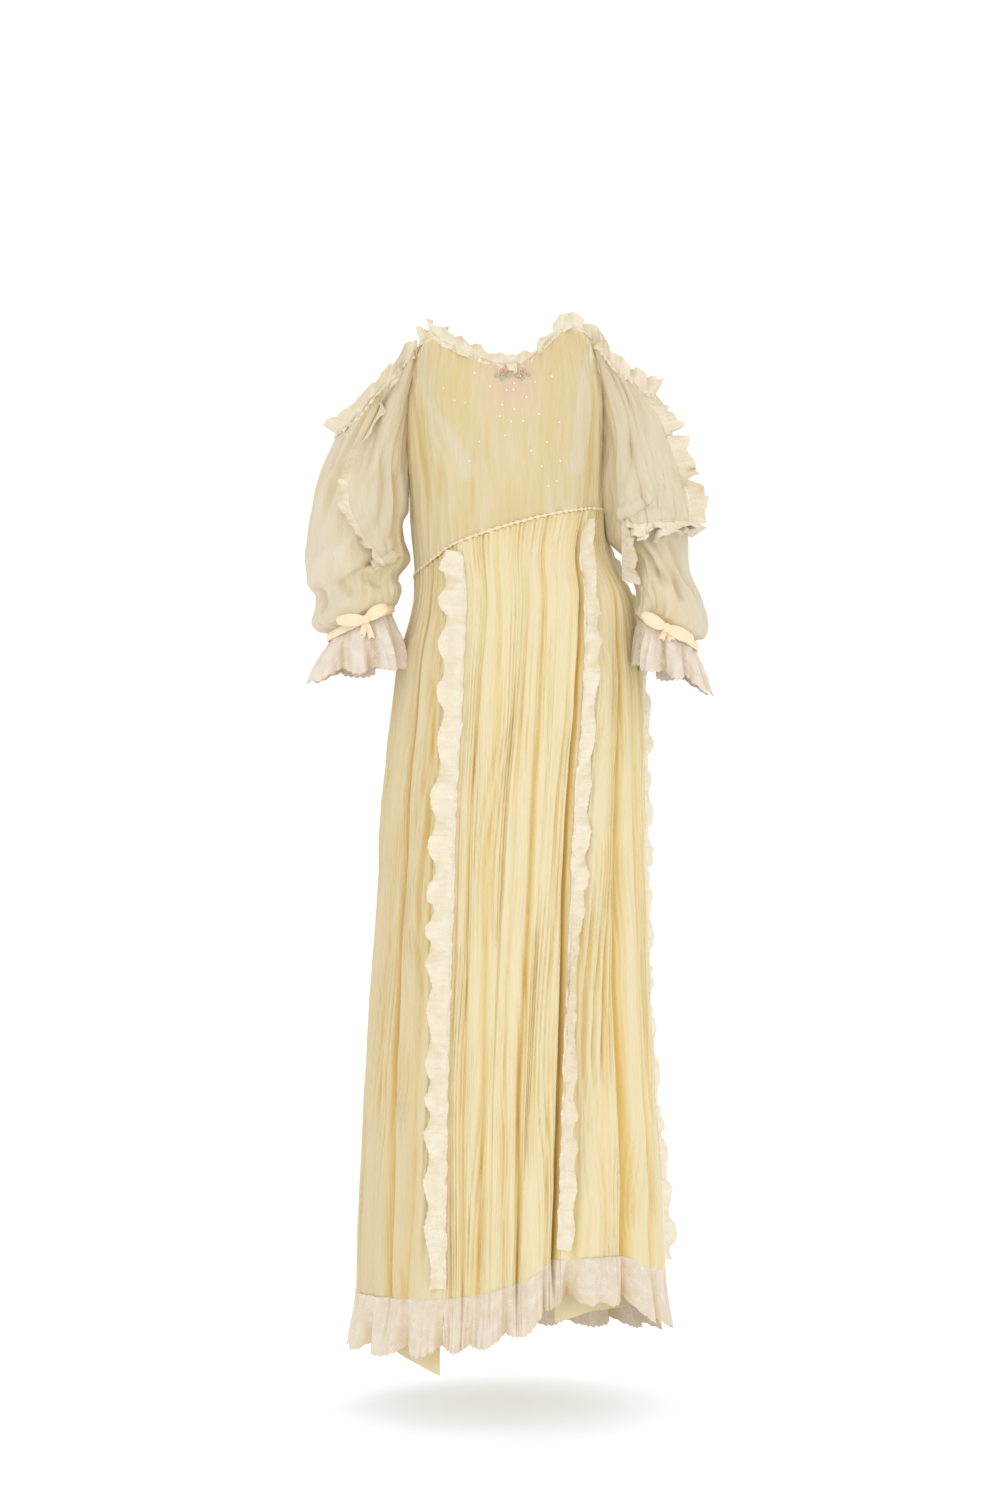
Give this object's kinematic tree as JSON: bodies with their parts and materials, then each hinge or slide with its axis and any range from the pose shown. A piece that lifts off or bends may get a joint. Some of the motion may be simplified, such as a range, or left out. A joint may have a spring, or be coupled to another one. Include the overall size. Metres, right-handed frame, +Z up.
{
  "type": "evening gown",
  "caption": "Off-the-shoulder evening gown with a gathered full-length skirt, puffed sleeves tied at the cuffs and lace ruffles along its edges and seams, kept in its worn form.",
  "frame": {"origin": "middle of the torso at bust height, where the wearer holds the gown up", "axes": "+Z up the body, -Y out of the front, +X towards the wearer's left"},
  "size_m": [0.5492, 0.398, 1.4177],
  "materials": {
    "chiffon": "matte",
    "lining": "matte",
    "lace": "matte",
    "satin": "satin",
    "rosebud": "satin"
  },
  "bodies": {
    "root": {"bodice_front": "chiffon", "bodice_back": "chiffon", "skirt_front": "chiffon", "skirt_side_left": "chiffon", "skirt_back_left": "chiffon", "skirt_back_right": "chiffon", "skirt_side_right": "chiffon", "sleeve_right": "chiffon", "sleeve_left": "chiffon", "sleeve_flap_right": "chiffon", "sleeve_flap_left": "chiffon", "underskirt_front_left": "lining", "underskirt_back_left": "lining", "underskirt_back_right": "lining", "underskirt_front_right": "lining", "hem_flounce_front": "lace", "hem_flounce_side_left": "lace", "hem_flounce_back_left": "lace", "hem_flounce_back_right": "lace", "hem_flounce_side_right": "lace", "cuff_right": "lace", "cuff_left": "lace", "flap_ruffle_right": "lace", "flap_ruffle_left": "lace", "neck_ruffle_front": "lace", "neck_ruffle_back": "lace", "shoulder_ruffle_right": "lace", "shoulder_ruffle_left": "lace", "skirt_ruffle_front_right": "lace", "skirt_ruffle_front_left": "lace", "skirt_ruffle_side_left": "lace", "skirt_ruffle_side_right": "lace", "waist_piping": "satin", "cuff_ribbon_right": "satin", "cuff_ribbon_left": "satin", "bow_right": "satin", "bow_left": "satin", "rosebud_right": "rosebud", "rosebud_left": "rosebud"}
  },
  "joints": []
}
